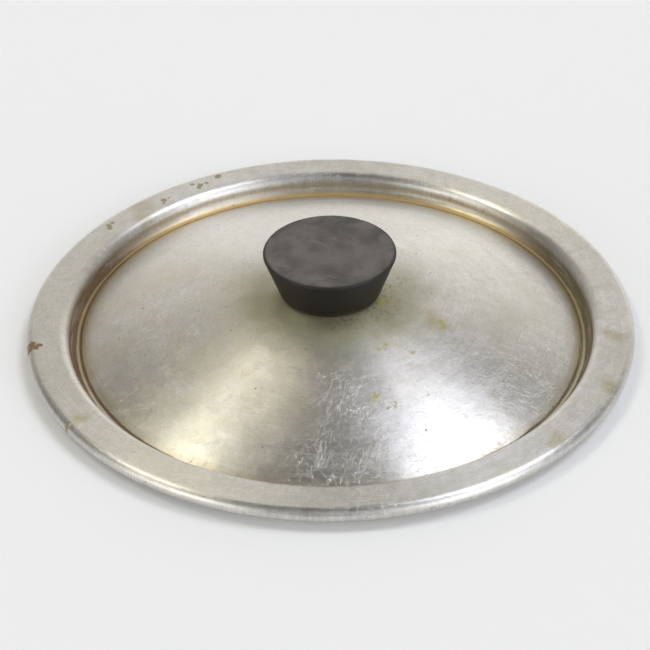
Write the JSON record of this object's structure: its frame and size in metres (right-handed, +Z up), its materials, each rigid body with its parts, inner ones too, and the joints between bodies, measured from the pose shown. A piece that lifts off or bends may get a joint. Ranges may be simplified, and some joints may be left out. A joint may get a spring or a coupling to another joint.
{
  "type": "pan lid",
  "caption": "Round pressed steel pan lid with a rolled rim, a stepped groove, a shallow dome and a tapered black knob held by a screw.",
  "frame": {"origin": "on the lid's axis, in the plane that the lid stands on, which is the flat underside of the groove", "axes": "+Z up along the lid's axis, towards the knob; the lid is round, so +X and +Y are free, with +X to the right of the picture and +Y away from it"},
  "size_m": [0.2284, 0.2284, 0.0361],
  "materials": {
    "lid_steel": "worn, circumferentially brushed, stained in the groove",
    "knob_phenolic": "dull moulded phenolic, rubbed grey on top",
    "insert_brass": "turned and knurled",
    "washer_fibre": "dark vulcanised fibre with baked-on grease",
    "plated_steel": "dulled plating",
    "spring_steel": "darkened spring steel",
    "screw_steel": "worn plating, turned head"
  },
  "bodies": {
    "lid": {"lid_shell": "lid_steel", "lid_washer": "plated_steel"},
    "knob_assembly": {"knob": "knob_phenolic", "knob_insert": "insert_brass", "knob_seat_washer": "washer_fibre", "spring_washer": "spring_steel", "knob_screw": "screw_steel"}
  },
  "joints": [
    {"name": "knob_turn", "type": "hinge", "parent": "lid", "child": "knob_assembly", "pos_m": [0, 0, 0.018], "axis": [0, 0, 1], "continuous": true}
  ]
}
